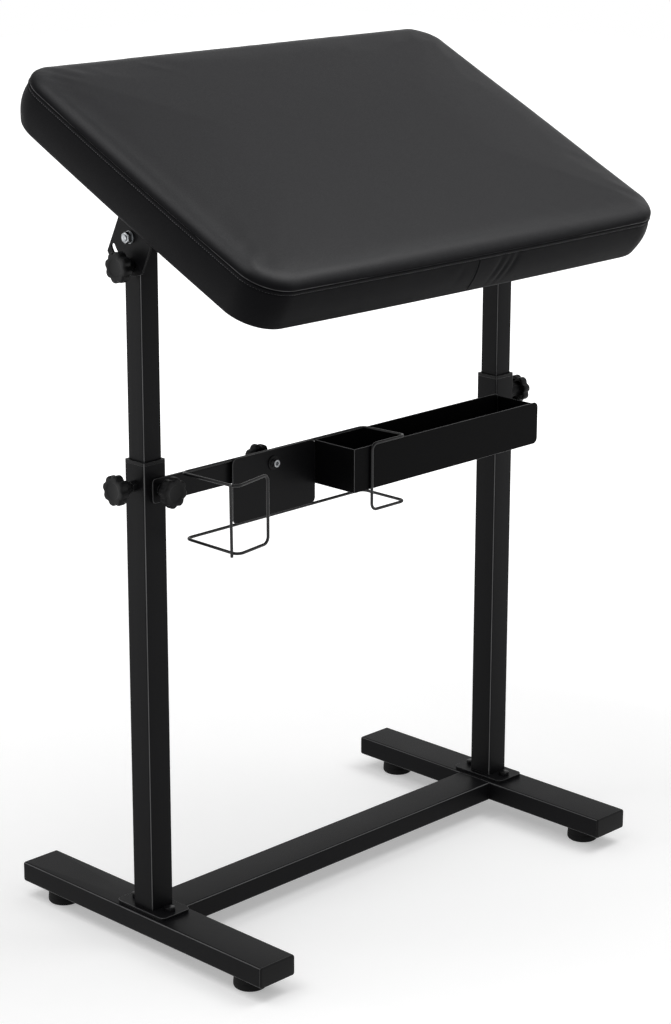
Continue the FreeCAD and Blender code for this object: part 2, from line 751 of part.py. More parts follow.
# Base
cap = cap_node()
foot = foot_node()
cross_length = post_pitch - bar_width
cross_tube = tube(bar_height, bar_width, bar_wall, bar_corner, -cross_length / 2, cross_length)
save("cross_tube", pointed(cross_tube, "right", vec(0, 0, foot_height + bar_height / 2)))
base_bolts, base_nuts = base_bolt_node()
save("base_bolts", base_bolts)
save("base_nuts", base_nuts)
for side, sign in sides:
    x = sign * post_pitch / 2
    save("foot_bar_" + side, bar_node(sign))
    save("base_plate_" + side, base_plate_node(sign))
    save("lower_post_" + side, lower_post_node(side, sign))
    save("post_bush_" + side, bush_node(sign))
    nut = hex_nut(hex_across, clamp_nut_height, height_stud_radius + fit_gap)
    save("clamp_nut_" + side, pointed(nut, side, vec(x + sign * lower_face, 0, clamp_height)))
    for end_name, end in ends:
        end_place = vec(x, end * (bar_length / 2 - cap_thickness), foot_height + bar_height / 2)
        save("end_cap_" + end_name + "_" + side, pointed(cap, end_name, end_place))
        foot_place = vec(x, end * (bar_length / 2 - foot_inset), 0)
        save("rubber_foot_" + end_name + "_" + side, foot.translated(foot_place))

# Uprights that slide in the lower posts
for side, sign in sides:
    post_cap, post_shoe = post_end_nodes(sign)
    save("upper_post_" + side, upper_post_node(side, sign))
    save("post_cap_" + side, post_cap)
    save("post_shoe_" + side, post_shoe)
for name, group in zip(("pivot_bolts", "pivot_washers", "pivot_nuts", "tilt_nuts"), pivot_nodes()):
    save(name, group)

# Tilting rest
for side, sign in sides:
    save("tilt_bracket_" + side, tilted(bracket_node(side, sign)))
save("pad_screws", tilted(pad_screw_node()))
save("pad_board", tilted(pad_board_node()))
save("pad_cushion", tilted(cushion_node()))

# Star knobs of the height clamps and of the tilt brackets
height_reach = height_thread_gap + clamp_nut_height + lower_face - upper_face - running_gap
tilt_reach = bracket_thickness + upper_post_wall + tilt_nut_height + tilt_stud_overhang
for side, sign in sides:
    height_place = vec(sign * (post_pitch / 2 + lower_face + clamp_nut_height + height_thread_gap), 0,
                       clamp_height)
    save("height_knob_" + side, pointed(star_knob(height_stud_radius + fit_gap), side, height_place))
    save("height_stud_" + side, pointed(stud(height_stud_radius, height_reach), side, height_place))
    tilt_place = vec(sign * (post_pitch / 2 + bracket_face + touch_gap), 0, pivot_height - slot_radius)
    save("tilt_knob_" + side, pointed(star_knob(tilt_stud_radius + fit_gap), side, tilt_place))
    save("tilt_stud_" + side, pointed(stud(tilt_stud_radius, tilt_reach), side, tilt_place))

# Holder arm with its star knob, washer and stud
save("holder_arm", arm_node())
arm_washer = ring(washer_radius, height_stud_radius + fit_gap, washer_thickness)
arm_place = vec(arm_start, arm_front, arm_level)
save("arm_washer", pointed(arm_washer, "front", arm_place))
arm_knob_place = arm_place - vec(0, washer_thickness, 0)
arm_reach = washer_thickness + arm_thickness + lower_face - upper_face - running_gap
save("arm_knob", pointed(star_knob(height_stud_radius + fit_gap), "front", arm_knob_place))
save("arm_stud", pointed(stud(height_stud_radius, arm_reach), "front", arm_knob_place))

# Holder plate, tray and wire rack, with the bolt and the rear knob that clamp them to the arm
wire_rack, guard_rod = wire_rack_nodes()
save("holder_plate", holder_plate_node())
save("tool_tray", tray_node())
save("wire_rack", wire_rack)
save("guard_rod", guard_rod)
bolt, front_washer, spacer, back_washer = holder_bolt_nodes()
save("holder_bolt", bolt)
save("holder_washer", front_washer)
save("holder_spacer", spacer)
save("knob_washer", back_washer)
rear_place = vec(bolt_place, -lower_face + washer_thickness, arm_level)
save("holder_knob", pointed(star_knob(insert_radius + fit_gap), "back", rear_place))
insert = ring(insert_radius, socket_bolt_radius + fit_gap, knob_bore_depth)
save("holder_knob_insert", pointed(insert, "back", rear_place))
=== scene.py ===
import json
import math
import bpy
import bmesh
from mathutils import Matrix, Vector
from mathutils.noise import noise


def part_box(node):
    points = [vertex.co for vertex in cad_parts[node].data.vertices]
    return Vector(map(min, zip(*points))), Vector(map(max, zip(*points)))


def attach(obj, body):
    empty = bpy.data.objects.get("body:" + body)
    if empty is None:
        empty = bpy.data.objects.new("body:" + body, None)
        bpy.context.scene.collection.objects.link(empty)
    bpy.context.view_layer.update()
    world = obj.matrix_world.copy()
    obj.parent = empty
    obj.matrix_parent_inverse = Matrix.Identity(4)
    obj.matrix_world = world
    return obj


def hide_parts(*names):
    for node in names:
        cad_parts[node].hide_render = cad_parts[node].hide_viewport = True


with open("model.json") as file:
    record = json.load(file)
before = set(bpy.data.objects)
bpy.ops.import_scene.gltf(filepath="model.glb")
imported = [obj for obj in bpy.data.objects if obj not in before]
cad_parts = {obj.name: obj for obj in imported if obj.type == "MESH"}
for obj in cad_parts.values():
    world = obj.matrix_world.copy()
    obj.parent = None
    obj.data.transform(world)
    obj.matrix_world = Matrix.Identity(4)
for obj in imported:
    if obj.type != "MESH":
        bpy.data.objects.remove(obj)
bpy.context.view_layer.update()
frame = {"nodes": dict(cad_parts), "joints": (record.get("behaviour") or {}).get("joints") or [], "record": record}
nodes = frame["nodes"]
joints = {joint["name"]: joint for joint in frame["joints"]}


# Shader maths as plain sums: every expression adds its Math nodes
class Wire:
    def __init__(self, paint, socket):
        self.paint = paint
        self.socket = socket

    def sum(self, operation, first, second):
        return self.paint.add("Math", {"operation": operation}, {0: first, 1: second})

    def __add__(self, other):
        return self.sum("ADD", self, other)

    def __sub__(self, other):
        return self.sum("SUBTRACT", self, other)

    def __rsub__(self, other):
        return self.sum("SUBTRACT", other, self)

    def __mul__(self, other):
        return self.sum("MULTIPLY", self, other)

    __radd__ = __add__
    __rmul__ = __mul__


# A shader tree: add() makes any node from its type, its settings and what goes into its sockets
class Shading:
    def __init__(self, tree):
        self.tree = tree

    def feed(self, socket, value):
        if isinstance(value, Wire):
            self.tree.links.new(value.socket, socket)
        else:
            socket.default_value = value

    def add(self, kind, settings=None, inputs=None, output=0):
        node = self.tree.nodes.new("ShaderNode" + kind)
        for name, value in (settings or {}).items():
            if name == "stops":
                for stop, (position, level) in zip(node.color_ramp.elements, value):
                    stop.position = position
                    stop.color = (level, level, level, 1)
            else:
                setattr(node, name, value)
        for name, value in (inputs or {}).items():
            self.feed(node.inputs[name], value)
        return None if output is None else Wire(self, node.outputs[output])

    def ramp(self, value, low, high):
        return self.add("ValToRGB", {"stops": (low, high)}, {"Fac": value})

    # 1 for the rays that meet the white background: straight from the camera, mirrored or through glass
    def backgroundRays(self):
        seen = 0.0
        for kind in ("Is Camera Ray", "Is Glossy Ray", "Is Transmission Ray"):
            ray = self.add("LightPath", output=kind)
            seen = self.add("Math", {"operation": "MAXIMUM"}, {0: seen, 1: ray})
        return seen


# One material: show() links what varies, and the shader's own sockets take the fixed values
class Paint(Shading):
    def __init__(self, name, **fixed):
        self.material = bpy.data.materials.new(name)
        self.material.use_nodes = True
        super().__init__(self.material.node_tree)
        self.shader = self.tree.nodes["Principled BSDF"]
        for socket, value in fixed.items():
            self.shader.inputs[socket.replace("_", " ")].default_value = value
        self.place = self.add("TexCoord", output="Object")

    def noise(self, scale, detail=3, roughness=0.5, place=None):
        return self.add("TexNoise", {}, {"Vector": place or self.place, "Scale": scale, "Detail": detail,
                                         "Roughness": roughness})

    def cells(self, scale, place):
        return self.add("TexVoronoi", {"feature": "DISTANCE_TO_EDGE"}, {"Vector": place, "Scale": scale})

    def stretched(self, x, y, z):
        return self.add("VectorMath", {"operation": "MULTIPLY"}, {0: self.place, 1: (x, y, z)})

    # Two colours shared out by a mask
    def tint(self, mask, first, second):
        mix = self.tree.nodes.new("ShaderNodeMix")
        mix.data_type = "RGBA"
        self.feed(mix.inputs[0], mask)
        slots = [socket for socket in mix.inputs if socket.type == "RGBA"]
        for socket, colour in zip(slots, (first, second)):
            self.feed(socket, colour if isinstance(colour, Wire) else (*colour, 1))
        return Wire(self, next(socket for socket in mix.outputs if socket.type == "RGBA"))

    def relief(self, height, distance, strength=1.0, under=None):
        inputs = {"Height": height, "Distance": distance, "Strength": strength}
        if under:
            inputs["Normal"] = under
        return self.add("Bump", {}, inputs)

    def show(self, **varying):
        for socket, value in varying.items():
            self.feed(self.shader.inputs[socket.replace("_", " ")], value)
        return self.material


# Satin black powder coat: fine orange peel and faint dust; a share below 1 darkens the colour, used to paint shade
# on the tray
powderCoat = {"base": (0.0042, 0.0042, 0.0048), "dust": (0.0070, 0.0070, 0.0078), "roughness": 0.4,
              "peel": 900, "depth": 0.00006}


def powderPaint(name, gloss=0.0, shine=0.07, share=1.0):
    paint = Paint(name, Specular_IOR_Level=shine)
    base, dust = ([part * share for part in powderCoat[key]] for key in ("base", "dust"))
    broad = paint.noise(9, 4)
    peel = paint.noise(powderCoat["peel"], 2)
    speck = paint.ramp(paint.noise(2600, 1), (0.52, 0), (0.74, 1))
    rough = broad * 0.12 + peel * 0.06 + (powderCoat["roughness"] - 0.09 - gloss)
    bump = paint.relief(peel + speck * 0.35, powderCoat["depth"], 0.7)
    return paint.show(Base_Color=paint.tint(broad, base, dust), Roughness=rough, Normal=bump)


# Glossier powder over a tube's corners and on broken edges, with a paler colour there that is a painted highlight
cornerHighlightLook = {"base": (0.02, 0.02, 0.021), "paleHighlight": (0.06, 0.06, 0.063), "roughness": 0.42, "shine": 0.7}


def cornerHighlightPaint():
    paint = Paint("black_paint_corner_highlight", Specular_IOR_Level=cornerHighlightLook["shine"])
    paleHighlight = paint.ramp(paint.noise(14, 5), (0.35, 0), (0.65, 1))
    peel = paint.noise(powderCoat["peel"], 2)
    return paint.show(Base_Color=paint.tint(paleHighlight, cornerHighlightLook["base"], cornerHighlightLook["paleHighlight"]),
                      Roughness=paleHighlight * -0.12 + cornerHighlightLook["roughness"],
                      Normal=paint.relief(peel, powderCoat["depth"], 0.6))


# Smooth upholstery vinyl: pebbled grain in cells over softer broad unevenness. The tone stored on the mesh is
# painted light: low values paint shade (a darker colour, no coat) below the seam and at the foot of the roll, high
# values paint a sheen (paler colour, more coat) over the roll and the top
vinylLook = {
    "base": (0.0085, 0.0085, 0.0098), "worn": (0.0155, 0.0155, 0.0175), "paintedShadeColour": (0.0028, 0.0028, 0.0034),
    "roughness": 0.51, "shine": 0.04, "coat": 0.62, "coatRoughness": 0.44, "grain": 620, "depth": 0.00016,
    "warp": 0.0012, "swell": 0.0012,
}


def vinylPaint(name):
    paint = Paint(name, Specular_IOR_Level=vinylLook["shine"], Coat_Roughness=vinylLook["coatRoughness"])
    paintedTone = paint.add("Attribute", {"attribute_name": "skinTone"}, output="Fac")
    warp = paint.add("TexNoise", {}, {"Vector": paint.place, "Scale": 300, "Detail": 2}, output="Color")
    place = paint.add("VectorMath", {"operation": "MULTIPLY_ADD"},
                      {0: warp, 1: [vinylLook["warp"]] * 3, 2: paint.place})
    pebble = paint.ramp(paint.cells(vinylLook["grain"], place), (0.0, 0), (0.22, 1))
    fine = paint.noise(2400, 2)
    broad = paint.noise(6, 4)
    swell = paint.relief(paint.noise(38, 3), vinylLook["swell"], 0.22)
    bump = paint.relief(pebble + fine * 0.3, vinylLook["depth"], 0.42, swell)
    rough = vinylLook["roughness"] - pebble * 0.07 + broad * 0.10
    shade = paint.tint(broad, vinylLook["base"], vinylLook["worn"])
    shade = paint.tint(paintedTone, vinylLook["paintedShadeColour"], shade)
    patches = paint.noise(vinylLook["grain"], 3) * 0.9 + 0.55
    return paint.show(Base_Color=shade, Roughness=rough, Normal=bump,
                      Coat_Weight=paintedTone * paintedTone * vinylLook["coat"] * patches)


# Folded edge of the vinyl along the seam, painted paler in patches as a thin painted highlight line
seamHighlightLook = {"base": (0.02, 0.02, 0.021), "highlightPale": (0.075, 0.075, 0.078), "roughness": 0.5, "shine": 0.3,
            "depth": 0.00008}


def seamHighlightPaint():
    paint = Paint("vinyl_seam_highlight", Specular_IOR_Level=seamHighlightLook["shine"])
    highlightPatches = paint.ramp(paint.noise(55, 4), (0.35, 0), (0.65, 1))
    return paint.show(Base_Color=paint.tint(highlightPatches, seamHighlightLook["base"], seamHighlightLook["highlightPale"]),
                      Roughness=highlightPatches * -0.12 + seamHighlightLook["roughness"],
                      Normal=paint.relief(paint.noise(900, 2), seamHighlightLook["depth"], 0.4))


threadLook = {"low": (0.03, 0.03, 0.031), "high": (0.09, 0.09, 0.094), "roughness": 0.35, "shine": 0.5,
              "fuzz": 0.3, "depth": 0.00008}


def threadPaint():
    paint = Paint("bonded_thread", Specular_IOR_Level=threadLook["shine"], Sheen_Weight=threadLook["fuzz"])
    twist = paint.noise(2200, 2, place=paint.stretched(1, 1, 3))
    return paint.show(Base_Color=paint.tint(twist, threadLook["low"], threadLook["high"]),
                      Roughness=twist * 0.2 + threadLook["roughness"],
                      Normal=paint.relief(twist, threadLook["depth"], 0.5))


# Moulded black plastic of the knobs, caps and bushes: a fine spark-eroded skin
mouldedLook = {"base": (0.0045, 0.0045, 0.0049), "pale": (0.0071, 0.0071, 0.0075), "roughness": 0.46,
               "depth": 0.00008, "shine": 0.12}


def mouldedPaint():
    paint = Paint("black_plastic", Specular_IOR_Level=mouldedLook["shine"])
    skin = paint.noise(1900, 3)
    broad = paint.noise(40, 3)
    rough = broad * 0.14 + skin * 0.1 + (mouldedLook["roughness"] - 0.12)
    return paint.show(Base_Color=paint.tint(broad, mouldedLook["base"], mouldedLook["pale"]),
                      Roughness=rough, Normal=paint.relief(skin, mouldedLook["depth"], 0.6))


# Matt rubber of the feet, with dust in patches
rubberLook = {"base": (0.006, 0.006, 0.0064), "dusty": (0.014, 0.0137, 0.0133), "roughness": 0.72,
              "shine": 0.15, "depth": 0.0001}


def rubberPaint():
    paint = Paint("black_rubber", Specular_IOR_Level=rubberLook["shine"])
    grime = paint.ramp(paint.noise(60, 5, 0.65), (0.45, 0), (0.8, 1))
    skin = paint.noise(1400, 3)
    rough = grime * 0.15 + skin * 0.06 + (rubberLook["roughness"] - 0.05)
    return paint.show(Base_Color=paint.tint(grime, rubberLook["base"], rubberLook["dusty"]),
                      Roughness=rough, Normal=paint.relief(skin, rubberLook["depth"], 0.5))


# Zinc plate on the bolts, nuts, washers and studs: drawn lines and a cloudy passivated skin
zincLook = {"bright": (0.34, 0.35, 0.36), "cloudy": (0.17, 0.18, 0.19), "roughness": 0.3,
            "depth": 0.00003}


def zincPaint():
    paint = Paint("zinc", Metallic=1.0)
    drawn = paint.noise(900, 3, place=paint.stretched(1, 0.12, 1))
    cloud = paint.ramp(paint.noise(260, 4), (0.4, 0), (0.7, 1))
    rough = cloud * 0.14 + drawn * 0.12 + (zincLook["roughness"] - 0.06)
    return paint.show(Base_Color=paint.tint(cloud, zincLook["bright"], zincLook["cloudy"]),
                      Roughness=rough, Normal=paint.relief(drawn, zincLook["depth"], 0.4))


# Underside panel: plywood stained black, with its long veneer grain and open pores
panelLook = {"dark": (0.012, 0.0105, 0.0095), "light": (0.03, 0.026, 0.022), "roughness": 0.62,
             "shine": 0.12, "depth": 0.0002}


def panelPaint():
    paint = Paint("stained_ply", Specular_IOR_Level=panelLook["shine"])
    grain = paint.noise(70, 5, 0.6, paint.stretched(0.09, 1, 1))
    pores = paint.ramp(paint.noise(900, 2, 0.5, paint.stretched(0.03, 1, 1)), (0.55, 0), (0.72, 1))
    figure = paint.ramp(grain, (0.35, 0), (0.7, 1))
    rough = pores * 0.12 + figure * 0.08 + (panelLook["roughness"] - 0.08)
    return paint.show(Base_Color=paint.tint(figure, panelLook["dark"], panelLook["light"]),
                      Roughness=rough, Normal=paint.relief(figure * 0.4 - pores, panelLook["depth"], 0.5))


paints = {
    "black_paint": powderPaint("black_paint"),
    "black_wire": powderPaint("black_wire", gloss=0.08, shine=0.3),
    "black_bolt": powderPaint("black_bolt", gloss=0.1, shine=0.16),
    "black_tray_painted_shade": powderPaint("black_tray_painted_shade", shine=0.03, share=0.45),
    "black_vinyl": vinylPaint("black_vinyl"),
    "black_plastic": mouldedPaint(),
    "black_rubber": rubberPaint(),
    "zinc": zincPaint(),
    "plywood": panelPaint(),
}
slotOf = {entry["node"]: entry["material_slot"] for entry in frame["record"]["subparts"]}
bodies = frame["record"]["behaviour"]["bodies"]
bodyOf = {node: body for body, members in bodies.items() for node in members}
# The tray keeps its slot but takes a darker copy of the powder, as painted shade
finishOf = {"tool_tray": "black_tray_painted_shade"}
for name, piece in nodes.items():
    piece.data.materials.clear()
    piece.data.materials.append(paints[finishOf.get(name, slotOf[name])])
print("materials mixed:", len(paints))


# Puts a finished mesh in the scene, on its body, with its paint, in place of the nodes it stands for
def present(name, mesh, body, slot, *replaced):
    piece = bpy.data.objects.new(name, mesh)
    bpy.context.scene.collection.objects.link(piece)
    if not mesh.materials:
        mesh.materials.append(paints[slot])
    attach(piece, body)
    if replaced:
        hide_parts(*replaced)
    return piece


def smooth(mesh, angle):
    mesh.shade_smooth()
    mesh.set_sharp_from_angle(angle=math.radians(angle))


def finished(name, bm, smoothAngle):
    bmesh.ops.recalc_face_normals(bm, faces=bm.faces)
    mesh = bpy.data.meshes.new(name)
    bm.to_mesh(mesh)
    bm.free()
    smooth(mesh, smoothAngle)
    return mesh


# A ring of vertices about Z, with the share of a wave that its radius takes
def ringOf(bm, radius, height, around, wave=None, share=1.0):
    ring = []
    for part in range(around):
        angle = 2 * math.pi * part / around
        reach = radius + (share * wave(angle) if wave else 0)
        ring.append(bm.verts.new((reach * math.cos(angle), reach * math.sin(angle), height)))
    return ring


# Faces between rings that follow each other, and over the two end rings if they are closed
def skinOver(bm, rings, closeEnds=False):
    for first, second in zip(rings, rings[1:]):
        for part, corner in enumerate(first):
            after = (part + 1) % len(first)
            bm.faces.new((corner, first[after], second[after], second[part]))
    if closeEnds:
        bm.faces.new(list(reversed(rings[0])))
        bm.faces.new(rings[-1])


# The edge of each pressed, sawn or moulded part is broken by this much, in metres. Edges sharper than
# edgeAngle are broken; vertices within weldDistance and faces within flatAngle are joined first
edgeAngle = 35
flatAngle = 0.6
weldDistance = 0.000002
brokenEdges = {
    "foot_bar": 0.0006, "cross_tube": 0.0006, "base_plate": 0.0008, "lower_post": 0.0004,
    "post_bush": 0.0007, "clamp_nut": 0.0004, "upper_post": 0.0004, "post_cap": 0.0006,
    "tilt_bracket": 0.0006, "holder_arm": 0.0006, "holder_plate": 0.0005, "tool_tray": 0.0005,
    "pivot_washers": 0.0002, "pivot_nuts": 0.0003, "pivot_bolts": 0.0003, "base_bolts": 0.0003,
    "pad_screws": 0.0006, "arm_washer": 0.0002, "holder_washer": 0.0004, "holder_spacer": 0.0003,
    "knob_washer": 0.0003, "holder_bolt": 0.0003,
}
# Pieces whose own rounded corners get the painted highlight paint too, found by faces that lean between two axes
tubes = ("foot_bar", "cross_tube", "lower_post", "upper_post", "post_cap", "post_bush")
cornerLean = 0.55
cornerHighlightMaterial = cornerHighlightPaint()


# A CAD part with its real edges rounded over
def broken(node, width):
    mesh = nodes[node].data.copy()
    bm = bmesh.new()
    bm.from_mesh(mesh)
    bmesh.ops.remove_doubles(bm, verts=bm.verts, dist=weldDistance)
    bmesh.ops.dissolve_limit(bm, angle_limit=math.radians(flatAngle), verts=bm.verts, edges=bm.edges)
    bm.to_mesh(mesh)
    bm.free()
    smooth(mesh, edgeAngle)
    piece = present(node + "_part", mesh, bodyOf[node], slotOf[node], node)
    bevel = piece.modifiers.new("brokenEdge", "BEVEL")
    bevel.width = width
    bevel.segments = 3
    # the bevels of painted parts take the paler paint: a painted highlight along each broken edge
    if slotOf[node] == "black_paint" or node.startswith(tubes):
        mesh.materials.append(cornerHighlightMaterial)
        bevel.material = 1
        if node.startswith(tubes):
            for face in mesh.polygons:
                if sorted(abs(part) for part in face.normal)[1] > cornerLean:
                    face.material_index = 1
    bevel.limit_method = "ANGLE"
    bevel.angle_limit = math.radians(edgeAngle)
    bevel.harden_normals = True


for node in nodes:
    for stem, width in brokenEdges.items():
        if node.startswith(stem):
            broken(node, width)
print("sheet, tube and fastener edges broken")


# Plastic end caps: a plug inside the bar and a flange with well rounded edges
endCap = {"wall": 0.00205, "plug": 0.012, "lead": 0.001, "flange": 0.0025, "corner": 0.0036, "edge": 0.0022,
          "lip": 0.0001, "leastCorner": 0.0008, "cornerSteps": 8}


def capRing(bm, halfX, halfZ, inset, depth):
    radius = max(endCap["leastCorner"], endCap["corner"] - inset)
    ring = []
    for corner, (signX, signZ) in enumerate(((1, 1), (-1, 1), (-1, -1), (1, -1))):
        middleX = signX * (halfX - inset - radius)
        middleZ = signZ * (halfZ - inset - radius)
        for part in range(endCap["cornerSteps"] + 1):
            angle = math.pi / 2 * (corner + part / endCap["cornerSteps"])
            ring.append(bm.verts.new((middleX + radius * math.cos(angle), depth,
                                      middleZ + radius * math.sin(angle))))
    return ring


# outward is -1 at the front end of a bar and 1 at its back end
def capMesh(name, low, high, outward):
    profile = [(endCap["wall"] + endCap["lead"], -endCap["plug"]),
               (endCap["wall"], endCap["lead"] - endCap["plug"]), (endCap["wall"], 0.0),
               (endCap["lip"], 0.0), (0.0, endCap["lip"])]
    for step in range(7):
        angle = math.pi / 12 * step
        profile.append((endCap["edge"] * (1 - math.cos(angle)),
                        endCap["flange"] - endCap["edge"] * (1 - math.sin(angle))))
    bm = bmesh.new()
    rings = [capRing(bm, (high.x - low.x) / 2, (high.z - low.z) / 2, inset, outward * depth)
             for inset, depth in profile]
    skinOver(bm, rings, True)
    mesh = finished(name, bm, 50)
    face = low.y + endCap["flange"] if outward < 0 else high.y - endCap["flange"]
    mesh.transform(Matrix.Translation(((low.x + high.x) / 2, face, (low.z + high.z) / 2)))
    return mesh


for node in nodes:
    if node.startswith("end_cap"):
        mesh = capMesh(node + "_moulding", *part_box(node), -1 if "front" in node else 1)
        present(node + "_moulding", mesh, bodyOf[node], slotOf[node], node)
print("end caps moulded")


# Rotation that points a piece drawn along +Z to one side of the stand
pointing = {
    "left": Matrix.Rotation(-math.pi / 2, 4, "Y"), "right": Matrix.Rotation(math.pi / 2, 4, "Y"),
    "front": Matrix.Rotation(math.pi / 2, 4, "X"), "back": Matrix.Rotation(-math.pi / 2, 4, "X"),
}


# Star knob: eight lobes, a deep rim that is hollow behind, and a ribbed tapering neck
starKnob = {
    "radius": 0.02, "scallop": 0.0024, "lobes": 8, "rim": 0.012, "neck": 0.013, "tip": 0.0084,
    "root": 0.0104, "ribs": 8, "rib": 0.0011, "web": 0.0196, "inside": 0.0146, "dish": 0.0116,
    "collar": 0.0052, "bore": 0.0046, "turn": 0.2, "sides": 192, "neckSteps": 12,
    "weld": 1e-7,
}
knobs = {
    "height_knob_left": "left", "height_knob_right": "right", "tilt_knob_left": "left",
    "tilt_knob_right": "right", "arm_knob": "front", "holder_knob": "back",
}


def starWave(angle):
    dip = 0.5 - 0.5 * math.cos(starKnob["lobes"] * (angle + starKnob["turn"]))
    return -starKnob["scallop"] * dip ** 1.7


def ribWave(angle):
    crest = 0.5 + 0.5 * math.cos(starKnob["ribs"] * angle)
    return starKnob["rib"] * crest ** 2.5


def knobMesh(name):
    k = starKnob
    top = k["neck"] + k["rim"]
    rim = k["radius"]
    # radius, height and share of the lobes, from the middle of the top over the rim to the web behind it
    star = [
        (0.0004, top - 0.0007, 0), (k["dish"] - 0.0018, top - 0.0007, 0),
        (k["dish"] - 0.0008, top - 0.0004, 0), (k["dish"], top, 0), (rim - 0.0032, top, 0.5),
        (rim - 0.0019, top - 0.0001, 0.9), (rim - 0.0011, top - 0.0006, 1), (rim - 0.0004, top - 0.0014, 1),
        (rim, top - 0.0028, 1), (rim, k["neck"] + 0.0026, 1), (rim - 0.0003, k["neck"] + 0.0011, 1),
        (rim - 0.0011, k["neck"] + 0.0002, 1), (rim - 0.0022, k["neck"], 0.9),
        (rim - 0.0042, k["neck"], 0.6), (rim - 0.0050, k["neck"] + 0.0006, 0.3),
        (k["inside"], k["neck"] + 0.0016, 0), (k["inside"] - 0.0002, k["web"] - 0.0008, 0),
        (k["inside"] - 0.0010, k["web"], 0), (k["root"] + 0.0012, k["web"], 0),
    ]
    bm = bmesh.new()
    rings = [ringOf(bm, radius, height, k["sides"], starWave, share) for radius, height, share in star]
    for step in range(k["neckSteps"] + 1):
        share = step / k["neckSteps"]
        height = k["web"] * (1 - share)
        fade = min(1, max(0, (height - 0.0016) / 0.002))
        radius = k["root"] + (k["tip"] - k["root"]) * share
        rings.append(ringOf(bm, radius, height, k["sides"], ribWave, fade))
    for radius, height in ((k["tip"] - 0.0007, 0.0), (k["collar"] + 0.0004, 0.0), (k["bore"], 0.0006)):
        rings.append(ringOf(bm, radius, height, k["sides"]))
    skinOver(bm, rings, True)
    bmesh.ops.remove_doubles(bm, verts=bm.verts, dist=k["weld"])
    return finished(name, bm, 42)


# The face that a knob's neck stands on, worked out from its CAD box
def knobSeat(node, side):
    low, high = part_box(node)
    middle = (low + high) / 2
    seat = {"left": (high.x, middle.y, middle.z), "right": (low.x, middle.y, middle.z),
            "front": (middle.x, high.y, middle.z), "back": (middle.x, low.y, middle.z)}[side]
    return Matrix.Translation(seat) @ pointing[side]


for node, side in knobs.items():
    mesh = knobMesh(node + "_moulding")
    mesh.transform(knobSeat(node, side))
    present(node + "_moulding", mesh, bodyOf[node], slotOf[node], node)
print("star knobs moulded:", len(knobs))


# Studs: a rolled thread, and a zinc collar at the neck of a height knob
threads = {
    "height_stud_left": {"side": "left", "radius": 0.004, "pitch": 0.00125},
    "height_stud_right": {"side": "right", "radius": 0.004, "pitch": 0.00125},
    "arm_stud": {"side": "front", "radius": 0.004, "pitch": 0.00125},
    "tilt_stud_left": {"side": "left", "radius": 0.003, "pitch": 0.001},
    "tilt_stud_right": {"side": "right", "radius": 0.003, "pitch": 0.001},
}
rolling = {"sides": 28, "ringsPerTurn": 8, "deepShare": 0.55, "tipShare": 0.82, "inKnob": 0.014}
collar = {"sides": 40, "innerShare": 0.9, "back": -0.0011, "front": 0.0004, "edge": 0.0003}


def threadRings(bm, radius, pitch, start, end):
    depth = pitch * rolling["deepShare"]
    count = int((end - start) / pitch * rolling["ringsPerTurn"])
    rings = []
    for row in range(count + 1):
        height = start + (end - start) * row / count
        lead = min(1, (height - start) / (2 * pitch))
        ring = []
        for part in range(rolling["sides"]):
            angle = 2 * math.pi * part / rolling["sides"]
            turn = (height / pitch + part / rolling["sides"]) % 1
            groove = abs(2 * turn - 1)
            reach = radius - depth * (1 - groove) ** 0.8
            reach *= rolling["tipShare"] + (1 - rolling["tipShare"]) * lead
            ring.append(bm.verts.new((reach * math.cos(angle), reach * math.sin(angle), height)))
        rings.append(ring)
    skinOver(bm, rings, True)


def collarRings(bm, inner):
    outer = starKnob["collar"]
    profile = ((inner, collar["back"]), (outer - collar["edge"], collar["back"]),
               (outer, collar["back"] + collar["edge"]), (outer, collar["front"]), (inner, collar["front"]))
    rings = [ringOf(bm, radius, height, collar["sides"]) for radius, height in profile]
    skinOver(bm, rings + rings[:1])


def studMesh(node, spec):
    low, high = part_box(node)
    length = max(high - low)
    bm = bmesh.new()
    threadRings(bm, spec["radius"], spec["pitch"], rolling["inKnob"] - length, rolling["inKnob"])
    if node.startswith("height"):
        collarRings(bm, spec["radius"] * collar["innerShare"])
    return finished(node + "_thread", bm, 40)


for node, spec in threads.items():
    knob = node.replace("stud", "knob")
    mesh = studMesh(node, spec)
    mesh.transform(knobSeat(knob, spec["side"]))
    present(node + "_thread", mesh, bodyOf[node], slotOf[node], node)
print("studs threaded:", len(threads))


# Rubber feet: round push-in feet with a rolled lower edge and a moulded groove above it
rubberFoot = {"radius": 0.022, "height": 0.022, "roll": 0.004, "groove": 0.0006, "hollow": 0.0012,
              "pin": 0.005, "pinRise": 0.009}


